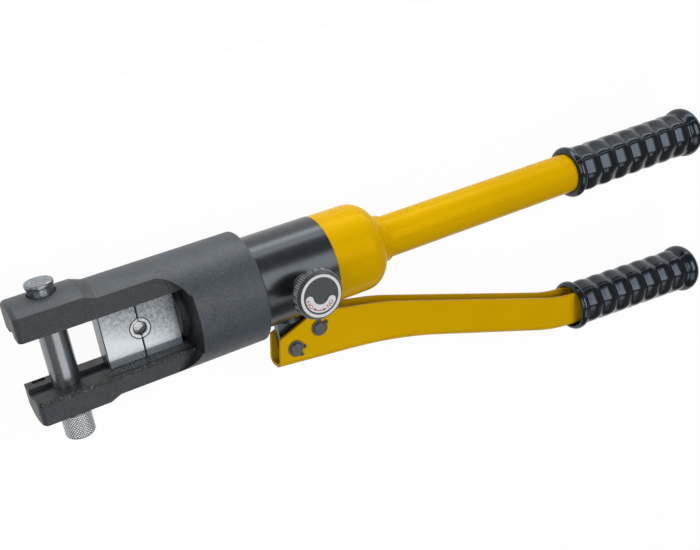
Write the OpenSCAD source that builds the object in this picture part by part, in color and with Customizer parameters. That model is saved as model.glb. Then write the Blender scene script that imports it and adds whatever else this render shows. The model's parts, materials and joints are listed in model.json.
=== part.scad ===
// Hydraulic crimping tool with a two-arm head, closed by a pull-out pin, and a hand pump.
// Lengths are in millimetres. The tool lies on its side: +X runs along the tool from the head to
// the handles, +Y along the retaining pin towards its disc, and +Z towards the release knob.
// The origin is the centre of the crimping nest, on the tool's main axis.

/* [Dies] */
// Length of each die along the tool
die_len = 22.1; // [18:0.1:26]
// Thickness of the dies, across the tool
die_thick = 14; // [11:0.5:18]
// Distance across the flats of the hexagonal nest
nest_flats = 6.4; // [4:0.1:9]
// Radius of the ring turned round the nest
nest_ring_r = 6.1; // [5.8:0.1:8]
// Free gap between the closed dies and the retaining pin, which is the ram's travel
jaw_gap = 15.3; // [10:0.1:17]

/* [Head] */
// Outer radius of the head's round barrel
head_r = 34; // [33:0.5:38]
// Outer radius of the thicker ends of the arms
boss_r = 36.3; // [36:0.1:42]
// Distance between the inner faces of the arms
arm_gap = 36; // [34:0.5:40]
// Distance across the milled flats of the arms
arm_flat = 34; // [30:0.5:38]
// Distance from the pin's axis to the front end of the arms
tip_len = 20.6; // [16:0.1:26]
// Length of the thick end behind the pin's axis
boss_back = 17.5; // [13:0.5:20]
// Length of the slope from the thick end down to the barrel
ramp_len = 6.5; // [3:0.5:10]
// Corner radius at the inner end of the milled flats
window_corner_r = 18; // [10:1:22]
// Length of the round barrel behind the window
barrel_len = 42.2; // [40:0.2:50]
// Thickness of the wall that guides the ram
guide_len = 12; // [10:0.5:14]
// Width of the guide groove in each arm
groove_w = 10; // [6:0.5:11]
// Depth of the guide groove in each arm
groove_depth = 2.5; // [1.5:0.1:3.5]
// Radius of the retaining pin
pin_r = 8; // [6:0.5:9]
// Length of the knurled end of the pin below the arm
knurl_len = 15; // [10:1:25]
// How far the pin's disc stands above the arm
disc_rise = 6.3; // [5:0.1:10]

/* [Ram] */
// Radius of the ram's rod
ram_r = 16.5; // [14:0.25:17]
// Radius of the ram's piston
piston_r = 23; // [21:0.5:24]
// Thickness of the piston
piston_len = 14; // [12:1:16]
// How far the ram stands out of the window's end wall at rest
ram_proud = 4.5; // [3:0.5:6]

/* [Pump body] */
// Outer radius of the pump body
body_r = 28.15; // [27.5:0.05:30]
// Visible length of the pump body
body_len = 49.2; // [48:0.2:60]
// Radius of the pump plunger
plunger_r = 5; // [4:0.25:5.5]
// Distance from the plunger's axis to the rear of the body
plunger_back = 9.4; // [8.8:0.1:10.5]
// Distance from the release spindle's axis to the rear of the body
knob_back = 24; // [23:0.5:26]
// Height of the release knob's face above the tool's axis
knob_face_z = 48.9; // [46:0.1:56]
// Radius of the knurled rim of the release knob
knob_r = 15; // [13:0.5:18]

/* [Reservoir and fixed handle] */
// Outer radius of the reservoir cup
cup_r = 27.8; // [27:0.1:30]
// Length of the reservoir cup
cup_len = 39.2; // [36:0.2:50]
// Radius of the round shoulder of the cup
cup_shoulder_r = 14; // [8:0.5:15]
// Outer radius of the handle tube
tube_r = 13.45; // [13.2:0.05:14]
// Wall of the handle tube
tube_wall = 2.2; // [1.8:0.1:2.5]
// Free length of the tube between the cup and the grip
tube_free = 157.3; // [120:0.1:200]
// Length of both grips
grip_len = 117.2; // [100:0.1:140]
// Radius over the crown of the grips
grip_r = 16.4; // [16:0.1:18]
// Radius of the grips' end flanges
grip_flange_r = 17.8; // [17.2:0.1:20]

/* [Pump lever] */
// Distance from the lever's fulcrum to the rear of the body
fulcrum_back = 27.9; // [27:0.1:30]
// Distance of the fulcrum below the tool's axis
fulcrum_drop = 47.4; // [46:0.1:50]
// Radius of both lever pins
lever_pin_r = 4; // [3:0.25:4.5]
// Outer width of the lever channel
channel_w = 15; // [14:0.5:18]
// Sheet thickness of the lever channel
channel_t = 2; // [1.5:0.1:2.5]
// Depth of the lever channel behind its front part
channel_h = 25; // [23:0.5:28]
// Slope of the lever's grip against the tool's axis, in degrees
lever_grip_tilt = 3.68; // [0:0.1:8]

/* [Hidden] */
$fn = 64;
over = 1;          // how far a cut runs past the face that it opens
fit = 0.05;        // radial running clearance of shafts, rods and plungers
seat = 0.1;        // small gap between faces that bear on each other
side_play = 0.25;  // play of the dies between the arms

// Colours
dark_steel = [0.25, 0.28, 0.30];
bright_steel = [0.72, 0.73, 0.74];
yellow_paint = [0.82, 0.65, 0.02];
black_rubber = [0.06, 0.06, 0.07];
brass = [0.75, 0.60, 0.30];
seal_green = [0.10, 0.25, 0.18];
nylon_white = [0.88, 0.87, 0.82];

// Stations along the tool
pin_x = -(die_len + jaw_gap + pin_r);
tip_x = pin_x - tip_len;
boss_end_x = pin_x + boss_back;
ramp_end_x = boss_end_x + ramp_len;
ram_face_x = die_len + seat;
window_x = ram_face_x + ram_proud;
shoulder_x = window_x + guide_len;
piston_x = shoulder_x + jaw_gap + seat;
piston_end_x = piston_x + piston_len;
cylinder_end_x = piston_end_x + seat;
head_rear_x = window_x + barrel_len;
body_rear_x = head_rear_x + body_len;
knob_x = body_rear_x - knob_back;
plunger_x = body_rear_x - plunger_back;
cup_rear_x = body_rear_x + cup_len;
fixed_grip_x = cup_rear_x + tube_free;

// Head
arm_half = arm_gap / 2;
flat_half = arm_flat / 2;
flat_edge_y = sqrt(head_r * head_r - flat_half * flat_half);
tip_round = 3;
head_rear_round = 1.2;
far_edge_chamfer = 2.5;
rail_pocket = [7.5, 1.2, 4.2];
rail_pocket_back = 4.1;
pin_bore_r = pin_r + fit;
ring_wire_r = 0.95;
pin_ring_mid_r = pin_bore_r + ring_wire_r;
pin_ring_y = (arm_half + boss_r) / 2;
wiper_x = window_x + 3;
wiper_len = 3;
wiper_r = ram_r + 3;
thread_r = body_r - 0.15;
lock_screw_r = 3;
lock_screw_x = head_rear_x - 8;
lock_screw_wall = 2;
lock_screw_depth = thread_r - piston_r - lock_screw_wall;
lock_screw_sink = 1;

// Retaining pin, from the knurled end to the disc
knurl_r = pin_r + 0.2;
pin_disc_r = pin_r - 0.05;
pin_neck_r = pin_r - 0.6;
knurl_top_y = -(boss_r + 0.6);
knurl_end_y = knurl_top_y - knurl_len;
pin_disc_y = boss_r + disc_rise;
pin_disc_t = 1.7;
pin_disc_chamfer = 0.45;
pin_neck_bevel = 1;
pin_neck_sink = 3.5;

// Dies
die_side = arm_half - side_play;
tongue_half = groove_w / 2 - side_play;
tongue_side = arm_half + groove_depth - side_play;
seam_chamfer = 0.45;
nest_flare = 0.9;
nest_ring_w = 0.45;
nest_ring_depth = 0.4;
stud_r = 3;
stud_in_die = 8;
stud_in_ram = 4;

// Ram and its return spring
ram_front_wall = 6;
ram_edge = 2.5;
ram_hollow_r = 9.5;
ram_hollow_x = ram_face_x + ram_front_wall;
bolt_head_gap = 2;
bolt_head_len = 4;
bolt_head_r = 8;
bolt_r = 4;
bolt_thread_len = 13;
bolt_head_x = ram_hollow_x + bolt_head_gap;
bolt_spring_x = bolt_head_x + bolt_head_len;
retainer_len = 2.5;
retainer_end_gap = 3;
retainer_x = piston_end_x - retainer_end_gap - retainer_len;
spring_wire_r = 1.05;
spring_r = 6.6;
spring_turns = 5;
seal_w = 3.6;
seal_depth = 3.4;
seal_x = piston_x + 4;
backup_w = 1.8;

// Galleries and valves in the pump body
spigot_r = cup_r - 3.8;
spigot_len = 10;
nipple_r = 10;
nipple_bore_r = 8;
nipple_len = 12;
sump_depth = 4;
nipple_x = body_rear_x + spigot_len;
nipple_end_x = nipple_x + nipple_len;
sump_x = nipple_x - sump_depth;
chamber_y = -2;
plunger_top_y = -4;
delivery_y = -12;
delivery_r = 3.5;
delivery_seat_x = plunger_x - plunger_r - 3.5;
delivery_turn_x = delivery_seat_x + 1;
chamber_port_y = chamber_y - 1;
delivery_ball_r = 2.5;
suction_y = -4.2;
suction_r = 3.6;
suction_ball_r = 2.5;
suction_spring_x = plunger_x + plunger_r + 0.5;
suction_spring_len = 3;
suction_ball_x = suction_spring_x + suction_spring_len + suction_ball_r + seat;
relief_y = 4.2;
relief_r = 3.1;
relief_ball_r = 2;
relief_seat_x = knob_x + 3;
relief_ball_x = relief_seat_x + relief_ball_r + seat;
relief_spring_len = 10;
gallery_r = 1.25;
small_wire_r = 0.35;
small_turns = 5;

// Plunger and its gland
gland_r = 8.5;
gland_len = 9;
gland_face_y = -(body_r + 0.45);
gland_top_y = gland_face_y + gland_len;
seal_ring_r = 1;

// Release valve
release_seat_z = 5.5;
release_ball_r = 2.5;
release_chamber_r = 3.2;
release_ball_z = release_seat_z + sqrt(pow(release_ball_r, 2) - pow(gallery_r, 2)) + seat;
spindle_tip_z = release_ball_z + release_ball_r + seat;
spindle_tip_r = 2.8;
spindle_tip_len = 3;
spindle_thread_r = 6;
spindle_thread_z = spindle_tip_z + spindle_tip_len;
spindle_thread_len = 9;
spindle_neck_r = 5;
spindle_gland_r = 7.5;
spindle_gland_z = spindle_thread_z + spindle_thread_len + 0.5;
spindle_gland_top_z = body_r + 5;
knob_label_t = 0.5;
knob_rim_h = 4;
knob_bevel_h = 1.5;
knob_bevel = 1.8;
knob_hub_r = 7.2;
knob_hub_h = 5.5;
knob_top_z = knob_face_z - knob_label_t;
knob_rim_z = knob_top_z - knob_bevel_h - knob_rim_h;
knob_hub_z = knob_rim_z - knob_hub_h;
knob_label_r = knob_r - knob_bevel - 0.3;
knob_teeth = 88;
knob_tooth_depth = 0.5;
knob_screw_r = 1.5;
spindle_top_z = knob_rim_z + 3;

// Reservoir, bladder and fixed handle
cup_wall = 3.4;
collar_r = tube_r + 3;
collar_len = 3.3;
fillet_ring_r = tube_r + 1.5;
fillet_ring_len = 4;
tube_front_x = cup_rear_x - cup_wall;
tube_bore_r = tube_r - tube_wall;
grip_end_wall = 3;
tube_end_x = fixed_grip_x + grip_len - grip_end_wall - seat;
tube_plug_len = 8;
tube_plug_sink = 3;
bladder_wall = 1.5;
bladder_r = tube_bore_r - 0.5;
bladder_neck_x = nipple_x + 1;
bladder_neck_r = nipple_r + seat + bladder_wall;
bladder_taper_x = nipple_end_x + 2;
bladder_in_grip = 20;
bladder_end_x = fixed_grip_x + bladder_in_grip;
clamp_x = bladder_neck_x + 3;
clamp_len = 5;
clamp_wall = 1.4;
filter_t = 1.5;

// Grips
grip_rings = 7;
grip_lip_len = 7.4;
grip_bead_len = 11.8;
grip_valley = 1.6;
grip_flats = 8;
grip_flat_depth = 0.65;
fixed_grip_turn = 3.5;
lever_grip_turn = -10;
grip_lip_round = 3.3;
grip_end_round = 6.3;
grip_mouth_depth = 8;
grip_crown_len = (grip_len - grip_lip_len - grip_bead_len) / grip_rings;

// Lever linkage. The plunger's slotted eye lets the drive pin swing on its arc.
fulcrum_x = body_rear_x - fulcrum_back;
fulcrum_y = -fulcrum_drop;
drive_dx = 17.7;
drive_dy = 7.8;
drive_x = fulcrum_x + drive_dx;
drive_y = fulcrum_y + drive_dy;
drive_arc = sqrt(drive_dx * drive_dx + drive_dy * drive_dy);
eye_play = 0.15;
eye_slot_half = max(fulcrum_x + drive_arc - plunger_x, plunger_x - drive_x) + lever_pin_r + 0.3;
eye_wall = 2.2;
eye_thick = channel_w - 2 * channel_t - 1.4;
lug_t = 6;
lug_r = 7.3;
lug_tenon = 6;
lug_back = 9.8;
lug_collar_r = 7.4;
lug_collar_h = 2.4;
lug_collar_dx = 2.2;
lug_collar_sink = 2;
pin_head_r = lever_pin_r + 2;
pin_head_t = 2;
pin_end_rise = 2.2;
clip_t = 0.9;
clip_groove_r = lever_pin_r - 0.7;
clip_r = lever_pin_r + 1.2;
clip_ear_back = lever_pin_r + 1.5;
clip_ear_r = 1.35;
clip_ear_hole_r = 0.55;
clip_ear_angle = 28;
clip_gap_angle = 14;
channel_half = channel_w / 2;
channel_corner_r = 5;

// Side outline of the lever, measured from its fulcrum: under edge, then upper edge
lever_grip_back = 218.7;
lever_grip_drop = 52.7;
under_nose = [-12.9, -10.1];
under_bend = [72.9, -20.5];
upper_nose = [-9.2, 8.8];
upper_crown = [15, 17.9];
upper_start = [26, 16.7];
upper_bend = [66.5, 8.0];
nose_lean = 3.4;
long_bend_r = 330;
rear_bend_r = 120;
crown_bend_r = 8;
lever_slope = 18.74;
bend_inset = 0.02;
bend_lap = 0.6;
blank_rise = 14;
cut_clear = 60;

lever_grip_x = fulcrum_x + lever_grip_back;
lever_grip_y = fulcrum_y - lever_grip_drop;
lever_end = grip_mouth_depth - seat;

// Points of an arc, from angle a0 to a1
function arc(centre, r, a0, a1, steps = 8) =
    [for (i = [0:steps]) centre + r * [cos(a0 + (a1 - a0) * i / steps), sin(a0 + (a1 - a0) * i / steps)]];

function unit(v) = v / norm(v);

// Where the line through p at angle ap meets the line through q at angle aq
function meet(p, ap, q, aq) =
    let (d = q - p, s = (d[0] * sin(aq) - d[1] * cos(aq)) / sin(aq - ap)) p + s * [cos(ap), sin(ap)];

// One corner b of the path a-b-c, rounded with radius r
function round_corner(a, b, c, r, steps) =
    let (u = unit(a - b), v = unit(c - b), half = acos(u * v) / 2, reach = r / tan(half),
         mid = b + unit(u + v) * r / sin(half), p = b + u * reach, q = b + v * reach,
         a0 = atan2(p[1] - mid[1], p[0] - mid[0]), turn = atan2(q[1] - mid[1], q[0] - mid[0]) - a0,
         sweep = turn > 180 ? turn - 360 : turn < -180 ? turn + 360 : turn)
    arc(mid, r, a0, a0 + sweep, steps);

// A path with every inner corner rounded by its own radius
function round_path(points, radii, steps = 8) =
    concat([points[0]],
           [for (i = [1:len(points) - 2])
               each radii[i - 1] > 0
                   ? round_corner(points[i - 1], points[i], points[i + 1], radii[i - 1], steps)
                   : [points[i]]],
           [points[len(points) - 1]]);

module rod_x(r, x0, x1, y = 0, z = 0) {
    translate([x0, y, z]) rotate([0, 90, 0]) cylinder(r = r, h = x1 - x0);
}

module rod_y(r, y0, y1, x = 0, z = 0) {
    translate([x, y0, z]) rotate([-90, 0, 0]) cylinder(r = r, h = y1 - y0);
}

module rod_z(r, z0, z1, x = 0, y = 0) {
    translate([x, y, z0]) cylinder(r = r, h = z1 - z0);
}

module ring_x(r_out, r_in, x0, x1, y = 0, z = 0) {
    difference() {
        rod_x(r_out, x0, x1, y, z);
        rod_x(r_in, x0 - over, x1 + over, y, z);
    }
}

// Turns an outline of [radius, station] points about the tool's main axis
module turned_x(points) {
    rotate([0, 90, 0]) rotate_extrude() polygon(points);
}

// The same about an axis along Y
module turned_y(points, x = 0) {
    translate([x, 0, 0]) rotate([-90, 0, 0]) rotate_extrude() polygon(points);
}

module o_ring(mid_r, wire_r) {
    rotate_extrude() translate([mid_r, 0]) circle(r = wire_r, $fn = 24);
}

module box(low, high) {
    translate(low) cube(high - low);
}

// Coil spring along +Z with both ends at z = 0 and z = length, as one unbroken tube
module coil(r, wire_r, length, turns, sides = 6, steps = 12) {
    rings = turns * steps;
    rise = (length - 2 * wire_r) / rings;
    points = [for (i = [0:rings]) for (j = [0:sides - 1])
        let (a = 360 * i / steps, b = 360 * j / sides, out = r + wire_r * cos(b))
        [out * cos(a), out * sin(a), wire_r + i * rise + wire_r * sin(b)]];
    skin = [for (i = [0:rings - 1]) for (j = [0:sides - 1])
        let (k = (j + 1) % sides, a = i * sides + j, b = i * sides + k)
        each [[a, a + sides, b + sides], [a, b + sides, b]]];
    caps = [for (j = [1:sides - 2]) each [[0, j, j + 1],
        [rings * sides, rings * sides + j + 1, rings * sides + j]]];
    polyhedron(points, concat(skin, caps), convexity = 10);
}

module spring_x(r, wire_r, x0, x1, turns, y = 0, sides = 6, steps = 12) {
    translate([x0, y, 0]) rotate([0, 90, 0]) coil(r, wire_r, x1 - x0, turns, sides, steps);
}

// Head

module head_blank() {
    turned_x(concat([[0, tip_x]],
        arc([boss_r - tip_round, tip_x + tip_round], tip_round, -90, 0, 6),
        [[boss_r, boss_end_x], [head_r, ramp_end_x]],
        arc([head_r - head_rear_round, head_rear_x - head_rear_round], head_rear_round, 0, 90, 4),
        [[0, head_rear_x]]));
}

module milled_flat() {
    corner_x = window_x - window_corner_r;
    corner_y = flat_edge_y + 0.3 - window_corner_r;
    reach = boss_r + over;
    translate([tip_x, 0, flat_half]) rotate([90, 0, 0]) linear_extrude(2 * reach, center = true) {
        polygon(concat([[-over, over], [-over, -tip_round]],
                       arc([tip_round, -tip_round], tip_round, 180, 90, 6), [[tip_round, over]]));
    }
    translate([0, 0, flat_half]) linear_extrude(boss_r - flat_half + over) {
        polygon(concat([[tip_x - over, reach], [tip_x - over, -reach], [corner_x, -reach]],
                       arc([corner_x, -corner_y], window_corner_r, -90, 0, 12),
                       arc([corner_x, corner_y], window_corner_r, 0, 90, 12), [[corner_x, reach]]));
    }
}

module arm_slot() {
    slot_top = boss_r + over;
    box([tip_x - over, -arm_half, -slot_top], [window_x, arm_half, slot_top]);
    box([tip_x - over, -arm_half - groove_depth, -groove_w / 2],
        [window_x, arm_half + groove_depth, groove_w / 2]);
    length = window_x - tip_x + over;
    edge = far_edge_chamfer * sqrt(2);
    for (side = [-1, 1]) translate([window_x - length / 2, side * arm_half, -flat_half]) {
        rotate([45, 0, 0]) cube([length, edge, edge], center = true);
    }
}

module head_forging() {
    color(dark_steel) difference() {
        head_blank();
        milled_flat();
        mirror([0, 0, 1]) milled_flat();
        arm_slot();
        translate([tip_x + rail_pocket_back, -arm_half, -flat_half + far_edge_chamfer]) {
            box([0, -rail_pocket[1], 0.3], [rail_pocket[0], over, rail_pocket[2]]);
        }
        rod_y(pin_bore_r, -boss_r - over, boss_r + over, pin_x);
        rod_y(pin_ring_mid_r + ring_wire_r + fit, pin_ring_y - ring_wire_r - fit, pin_ring_y + ring_wire_r + fit,
              pin_x);
        rod_x(ram_r + fit, window_x - over, shoulder_x + over);
        rod_x(wiper_r + fit, wiper_x, wiper_x + wiper_len + fit);
        rod_x(thread_r + fit, shoulder_x, head_rear_x + over);
        rod_z(lock_screw_r + fit, -head_r - over, 0, lock_screw_x);
    }
}

module pin_o_ring() {
    color(black_rubber) translate([pin_x, pin_ring_y, 0]) rotate([90, 0, 0]) {
        o_ring(pin_ring_mid_r + fit / 2, ring_wire_r - fit / 2);
    }
}

module retaining_pin() {
    rim_top = pin_disc_y - pin_disc_chamfer;
    rim_low = rim_top - pin_disc_t;
    color(bright_steel) turned_y(concat([[0, knurl_end_y]],
        arc([knurl_r - 1, knurl_end_y + 1], 1, -90, 0, 4),
        [[knurl_r, knurl_top_y], [pin_r, knurl_top_y], [pin_r, boss_r - pin_neck_sink - pin_neck_bevel],
         [pin_neck_r, boss_r - pin_neck_sink], [pin_neck_r, rim_low - pin_neck_bevel], [pin_disc_r, rim_low],
         [pin_disc_r, rim_top], [pin_disc_r - pin_disc_chamfer, pin_disc_y], [0, pin_disc_y]]), pin_x);
}

module head_lock_screw() {
    color(dark_steel) difference() {
        rod_z(lock_screw_r, -head_r + lock_screw_sink, -thread_r + lock_screw_depth, lock_screw_x);
        translate([lock_screw_x, 0, -head_r]) cylinder(r = 1.7, h = lock_screw_sink + 2.5, $fn = 6);
    }
}

// Dies and ram

// One die, lying on the -X side of the seam
module die() {
    difference() {
        union() {
            box([-die_len, -die_side, -die_thick / 2], [-seat / 2, die_side, die_thick / 2]);
            box([-die_len, -tongue_side, -tongue_half], [-seat / 2, tongue_side, tongue_half]);
        }
        rotate([0, 0, 30]) {
            cylinder(r = nest_flats / sqrt(3), h = die_thick + 2 * over, center = true, $fn = 6);
        }
        for (side = [-1, 1]) mirror([0, 0, side > 0 ? 0 : 1]) translate([0, 0, die_thick / 2]) {
            translate([0, 0, -nest_flare]) rotate([0, 0, 30]) {
                cylinder(r1 = nest_flats / sqrt(3), r2 = nest_flats / sqrt(3) + nest_flare,
                         h = nest_flare + 0.01, $fn = 6);
            }
            translate([0, 0, -nest_ring_depth]) difference() {
                cylinder(r = nest_ring_r + nest_ring_w / 2, h = nest_ring_depth + over);
                translate([0, 0, -over]) {
                    cylinder(r = nest_ring_r - nest_ring_w / 2, h = nest_ring_depth + 3 * over);
                }
            }
            rotate([0, 45, 0]) {
                cube([seam_chamfer * sqrt(2), arm_gap, seam_chamfer * sqrt(2)], center = true);
            }
        }
    }
}

module front_die() {
    color(bright_steel) die();
}

module rear_die() {
    color(bright_steel) difference() {
        mirror([1, 0, 0]) die();
        rod_x(stud_r, die_len - stud_in_die, die_len + over);
    }
}

module die_stud() {
    color(dark_steel) rod_x(stud_r - fit, die_len - stud_in_die + seat, ram_face_x + stud_in_ram - seat);
}

module ram() {
    color(dark_steel) difference() {
        turned_x([[0, ram_face_x], [ram_r - ram_edge, ram_face_x], [ram_r, ram_face_x + ram_edge],
                  [ram_r, piston_x], [piston_r - fit, piston_x], [piston_r - fit, piston_end_x],
                  [0, piston_end_x]]);
        rod_x(stud_r, ram_face_x - over, ram_face_x + stud_in_ram);
        rod_x(ram_hollow_r, ram_hollow_x, piston_end_x + over);
        ring_x(piston_r + over, piston_r - seal_depth, seal_x, seal_x + seal_w + backup_w);
    }
}

module ram_wiper() {
    color(seal_green) ring_x(wiper_r, ram_r + fit, wiper_x + fit, wiper_x + wiper_len);
}

module piston_seal() {
    color(seal_green) ring_x(piston_r - fit, piston_r - seal_depth + fit, seal_x + fit, seal_x + seal_w);
}

module piston_backup_ring() {
    color(nylon_white) ring_x(piston_r - fit, piston_r - seal_depth + fit, seal_x + seal_w + fit,
                              seal_x + seal_w + backup_w - fit);
}

module return_spring() {
    color(bright_steel) spring_x(spring_r, spring_wire_r, bolt_spring_x + seat, retainer_x - seat,
                                 spring_turns);
}

module spring_bolt() {
    color(dark_steel) difference() {
        union() {
            rod_x(bolt_head_r, bolt_head_x, bolt_spring_x);
            rod_x(bolt_r, bolt_spring_x - over, cylinder_end_x + bolt_thread_len - seat);
        }
        rod_x(2.5, bolt_head_x - over, bolt_head_x + 2.5, $fn = 6);
    }
}

module spring_retainer() {
    color(dark_steel) ring_x(ram_hollow_r - fit, bolt_r + 0.35, retainer_x, retainer_x + retainer_len);
}

// Pump body and valves

module body_blank() {
    difference() {
        union() {
            rod_x(thread_r, shoulder_x, head_rear_x + over);
            rod_x(body_r, head_rear_x, body_rear_x);
            rod_x(spigot_r, body_rear_x - over, nipple_x);
            rod_x(nipple_r, nipple_x - over, nipple_end_x);
        }
        rod_x(piston_r, shoulder_x - over, cylinder_end_x);
        ring_x(thread_r + over, thread_r - 1.9, shoulder_x + 5, shoulder_x + 7.4);
        ring_x(spigot_r + over, spigot_r - 1.7, body_rear_x + 3, body_rear_x + 5.2);
        rod_z(lock_screw_r + fit, -body_r - over, -thread_r + lock_screw_depth + seat, lock_screw_x);
    }
}

module galleries() {
    rod_x(bolt_r + fit, cylinder_end_x - over, cylinder_end_x + bolt_thread_len);
    rod_x(nipple_bore_r, sump_x, nipple_end_x + over);
    rod_x(suction_r, plunger_x, sump_x + over, suction_y);
    rod_x(relief_r, relief_seat_x, sump_x + over, relief_y);
    rod_x(gallery_r, knob_x, relief_seat_x + over, relief_y);
    rod_x(delivery_r, cylinder_end_x - over, delivery_seat_x, delivery_y);
    rod_x(gallery_r, delivery_seat_x - over, delivery_turn_x, delivery_y);
    rod_y(gallery_r, delivery_y, chamber_port_y, delivery_turn_x);
    rod_x(gallery_r, delivery_turn_x, plunger_x, chamber_port_y);
    rod_y(gallery_r, delivery_y, relief_y, knob_x);
    rod_z(gallery_r, 0, release_seat_z + over, knob_x);
    rod_z(release_chamber_r, release_seat_z, spindle_thread_z + over, knob_x);
    rod_z(spindle_thread_r + fit, spindle_thread_z - seat, body_r + over, knob_x);
    rod_z(spindle_gland_r + fit, spindle_gland_z - seat, body_r + over, knob_x);
    rod_x(gallery_r, knob_x, sump_x + over, 0, release_seat_z + 1.5);
    rod_y(plunger_r + fit, -body_r - over, chamber_y, plunger_x);
    rod_y(gland_r + fit, -body_r - over, gland_top_y + seat, plunger_x);
}

module pump_body() {
    lug_low_x = fulcrum_x - lug_r - fit;
    lug_high_x = fulcrum_x + lug_back + fit;
    color(dark_steel) difference() {
        body_blank();
        galleries();
        box([lug_low_x, -body_r - over, -lug_t / 2 - fit],
            [lug_high_x, -body_r + lug_tenon + seat, lug_t / 2 + fit]);
        rod_y(lug_collar_r + fit, -body_r - over, -body_r + lug_collar_sink + seat,
              fulcrum_x + lug_collar_dx);
    }
}

module body_o_ring() {
    color(black_rubber) translate([shoulder_x + 6.2, 0, 0]) rotate([0, 90, 0]) {
        o_ring(thread_r - 0.9, 0.85);
    }
}

module fulcrum_lug() {
    top_y = -body_r + lug_tenon;
    shade = 32;
    color(dark_steel) difference() {
        union() {
            translate([0, 0, -lug_t / 2]) linear_extrude(lug_t) union() {
                translate([fulcrum_x, fulcrum_y]) circle(r = lug_r);
                polygon([[fulcrum_x - lug_r, fulcrum_y], [fulcrum_x - lug_r, top_y],
                         [fulcrum_x + lug_back, top_y], [fulcrum_x + lug_back, -body_r - 1],
                         [fulcrum_x + lug_r * cos(shade), fulcrum_y + lug_r * sin(shade)],
                         [fulcrum_x, fulcrum_y]]);
            }
            rod_y(lug_collar_r, -body_r - lug_collar_h, -body_r + lug_collar_sink,
                  fulcrum_x + lug_collar_dx);
        }
        rod_z(lever_pin_r + fit, -lug_t, lug_t, fulcrum_x, fulcrum_y);
    }
}

module plunger() {
    eye_half_y = lever_pin_r + eye_play;
    flat_x = eye_slot_half - eye_half_y;
    eye_r = eye_half_y + eye_wall;
    color(bright_steel) difference() {
        union() {
            rod_y(plunger_r, drive_y, plunger_top_y, plunger_x);
            translate([plunger_x, drive_y, -eye_thick / 2]) linear_extrude(eye_thick) union() {
                square([2 * flat_x, 2 * eye_r], center = true);
                for (side = [-1, 1]) translate([side * flat_x, 0]) circle(r = eye_r);
            }
        }
        translate([plunger_x, drive_y, 0]) {
            cube([2 * flat_x, 2 * eye_half_y, eye_thick + 2 * over], center = true);
            for (side = [-1, 1]) translate([side * flat_x, 0, 0]) {
                cylinder(r = eye_half_y, h = eye_thick + 2 * over, center = true);
            }
        }
    }
}

module plunger_gland() {
    color(brass) difference() {
        rod_y(gland_r, gland_face_y, gland_top_y, plunger_x);
        rod_y(plunger_r + fit, gland_face_y - over, gland_top_y + over, plunger_x);
        rod_y(plunger_r + 2 * seal_ring_r, gland_top_y - 2 * seal_ring_r - fit, gland_top_y + over,
              plunger_x);
    }
}

module plunger_seal() {
    color(black_rubber) translate([plunger_x, gland_top_y - seal_ring_r, 0]) rotate([90, 0, 0]) {
        o_ring(plunger_r + seal_ring_r, seal_ring_r - fit);
    }
}

module suction_seat() {
    start = suction_ball_x + 0.8 * suction_ball_r;
    color(brass) ring_x(suction_r - fit, 1.6, start, start + 2.5, suction_y);
}

module suction_ball() {
    color(bright_steel) translate([suction_ball_x, suction_y, 0]) sphere(r = suction_ball_r);
}

module suction_spring() {
    color(bright_steel) spring_x(2.4, small_wire_r, suction_spring_x,
                                 suction_spring_x + suction_spring_len, 3, suction_y, 4, 8);
}

module delivery_ball() {
    color(bright_steel) translate([delivery_seat_x - delivery_ball_r - seat, delivery_y, 0]) {
        sphere(r = delivery_ball_r);
    }
}

module delivery_spring() {
    high = delivery_seat_x - 2 * delivery_ball_r - 2 * seat;
    color(bright_steel) spring_x(2.4, small_wire_r, high - 10, high, small_turns, delivery_y, 4, 8);
}

module delivery_retainer() {
    high = delivery_seat_x - 2 * delivery_ball_r - 3 * seat - 10;
    color(brass) ring_x(delivery_r - fit, 1.5, high - 4, high, delivery_y);
}

module relief_ball() {
    color(bright_steel) translate([relief_ball_x, relief_y, 0]) sphere(r = relief_ball_r);
}

module relief_spring() {
    low = relief_ball_x + relief_ball_r + seat;
    color(bright_steel) spring_x(2.2, small_wire_r, low, low + relief_spring_len, small_turns,
                                 relief_y, 4, 8);
}

module relief_screw() {
    low = relief_ball_x + relief_ball_r + 2 * seat + relief_spring_len;
    color(brass) ring_x(relief_r - fit, 1.2, low, low + 6, relief_y);
}

module release_ball() {
    color(bright_steel) translate([knob_x, 0, release_ball_z]) sphere(r = release_ball_r);
}

module release_spindle() {
    ring_z = spindle_gland_z + 3;
    color(bright_steel) difference() {
        union() {
            rod_z(spindle_tip_r, spindle_tip_z, spindle_thread_z + over, knob_x);
            rod_z(spindle_thread_r, spindle_thread_z, spindle_thread_z + spindle_thread_len, knob_x);
            rod_z(spindle_neck_r, spindle_thread_z, spindle_top_z, knob_x);
        }
        translate([knob_x, 0, ring_z - ring_wire_r]) difference() {
            cylinder(r = spindle_neck_r + over, h = 2 * ring_wire_r);
            translate([0, 0, -over]) {
                cylinder(r = spindle_neck_r - 1.4, h = 2 * ring_wire_r + 2 * over);
            }
        }
    }
}

module spindle_o_ring() {
    wire = 0.7;
    color(black_rubber) translate([knob_x, 0, spindle_gland_z + 3]) {
        o_ring(spindle_neck_r - 1.4 + wire, wire - fit / 2);
    }
}

module spindle_gland() {
    color(dark_steel) difference() {
        rod_z(spindle_gland_r, spindle_gland_z, spindle_gland_top_z, knob_x);
        rod_z(spindle_neck_r + fit, spindle_gland_z - over, spindle_gland_top_z + over, knob_x);
    }
}

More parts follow.
